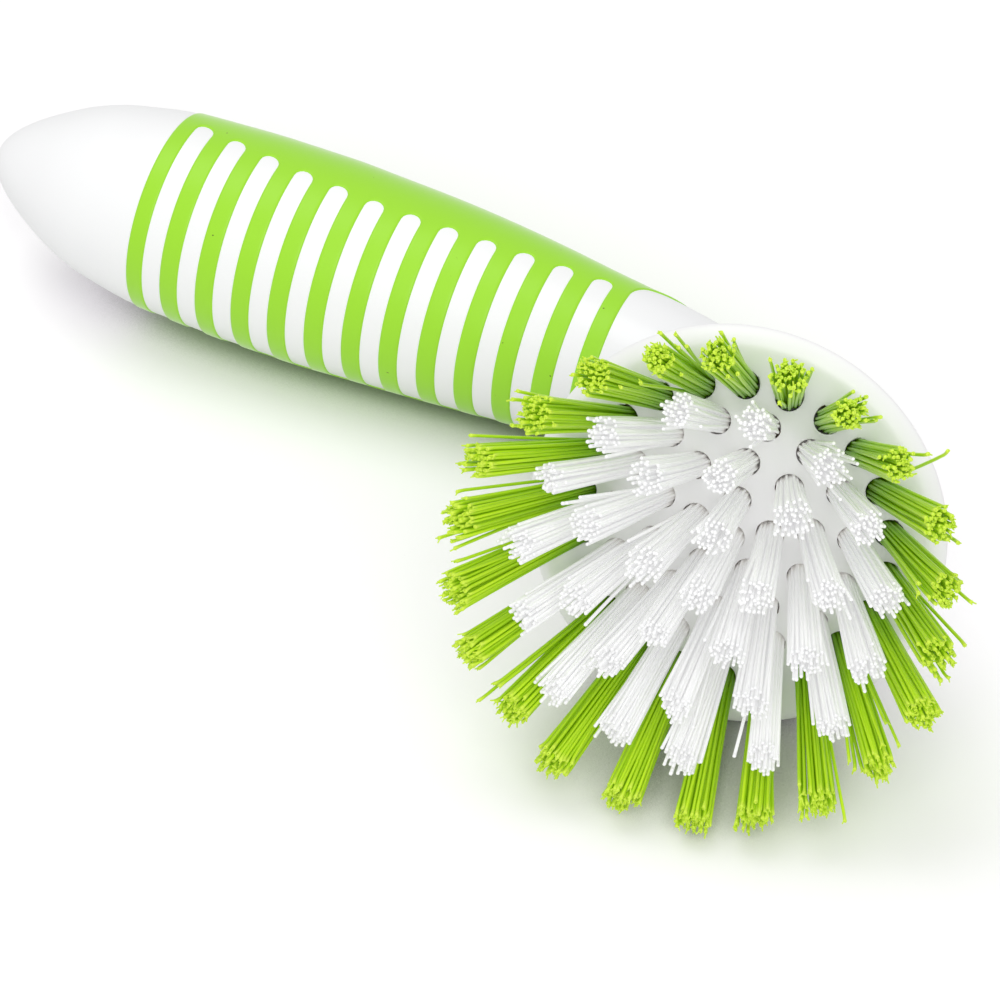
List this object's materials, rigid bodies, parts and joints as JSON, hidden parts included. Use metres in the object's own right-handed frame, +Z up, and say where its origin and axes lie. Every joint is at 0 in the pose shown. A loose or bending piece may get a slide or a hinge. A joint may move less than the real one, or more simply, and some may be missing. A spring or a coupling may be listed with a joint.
{
  "type": "kitchen brush",
  "caption": "Round-headed scrubbing brush lying on its side: thick tapered handle, ribbed soft grip, bent neck and a domed head with a crown of tufts.",
  "frame": {"origin": "middle of the bounding box in X and Y, on the table that the brush lies on", "axes": "+Z up from the table; +X runs from the handle's far end towards the head, seen from the front; +Y goes away from the viewer, and the tufts point mostly along -Y and up"},
  "size_m": [0.1586, 0.1512, 0.0797],
  "materials": {
    "white_plastic": "smooth moulded",
    "head_plastic": "smooth moulded",
    "green_rubber": "satin soft overmould",
    "green_nylon": "drawn filament",
    "white_nylon": "drawn filament"
  },
  "bodies": {
    "root": {"handle_core": "white_plastic", "grip": "green_rubber", "head_block": "head_plastic", "green_tuft_01": "green_nylon", "green_tuft_02": "green_nylon", "green_tuft_03": "green_nylon", "green_tuft_04": "green_nylon", "green_tuft_05": "green_nylon", "green_tuft_06": "green_nylon", "green_tuft_07": "green_nylon", "green_tuft_08": "green_nylon", "green_tuft_09": "green_nylon", "green_tuft_10": "green_nylon", "green_tuft_11": "green_nylon", "green_tuft_12": "green_nylon", "green_tuft_13": "green_nylon", "green_tuft_14": "green_nylon", "green_tuft_15": "green_nylon", "green_tuft_16": "green_nylon", "green_tuft_17": "green_nylon", "green_tuft_18": "green_nylon", "green_tuft_19": "green_nylon", "green_tuft_20": "green_nylon", "green_tuft_21": "green_nylon", "green_tuft_22": "green_nylon", "white_tuft_ring1_01": "white_nylon", "white_tuft_ring1_02": "white_nylon", "white_tuft_ring1_03": "white_nylon", "white_tuft_ring1_04": "white_nylon", "white_tuft_ring1_05": "white_nylon", "white_tuft_ring2_01": "white_nylon", "white_tuft_ring2_02": "white_nylon", "white_tuft_ring2_03": "white_nylon", "white_tuft_ring2_04": "white_nylon", "white_tuft_ring2_05": "white_nylon", "white_tuft_ring2_06": "white_nylon", "white_tuft_ring2_07": "white_nylon", "white_tuft_ring2_08": "white_nylon", "white_tuft_ring2_09": "white_nylon", "white_tuft_ring2_10": "white_nylon", "white_tuft_ring3_01": "white_nylon", "white_tuft_ring3_02": "white_nylon", "white_tuft_ring3_03": "white_nylon", "white_tuft_ring3_04": "white_nylon", "white_tuft_ring3_05": "white_nylon", "white_tuft_ring3_06": "white_nylon", "white_tuft_ring3_07": "white_nylon", "white_tuft_ring3_08": "white_nylon", "white_tuft_ring3_09": "white_nylon", "white_tuft_ring3_10": "white_nylon", "white_tuft_ring3_11": "white_nylon", "white_tuft_ring3_12": "white_nylon", "white_tuft_ring3_13": "white_nylon", "white_tuft_ring3_14": "white_nylon", "white_tuft_ring3_15": "white_nylon", "white_tuft_centre": "white_nylon"}
  },
  "joints": []
}
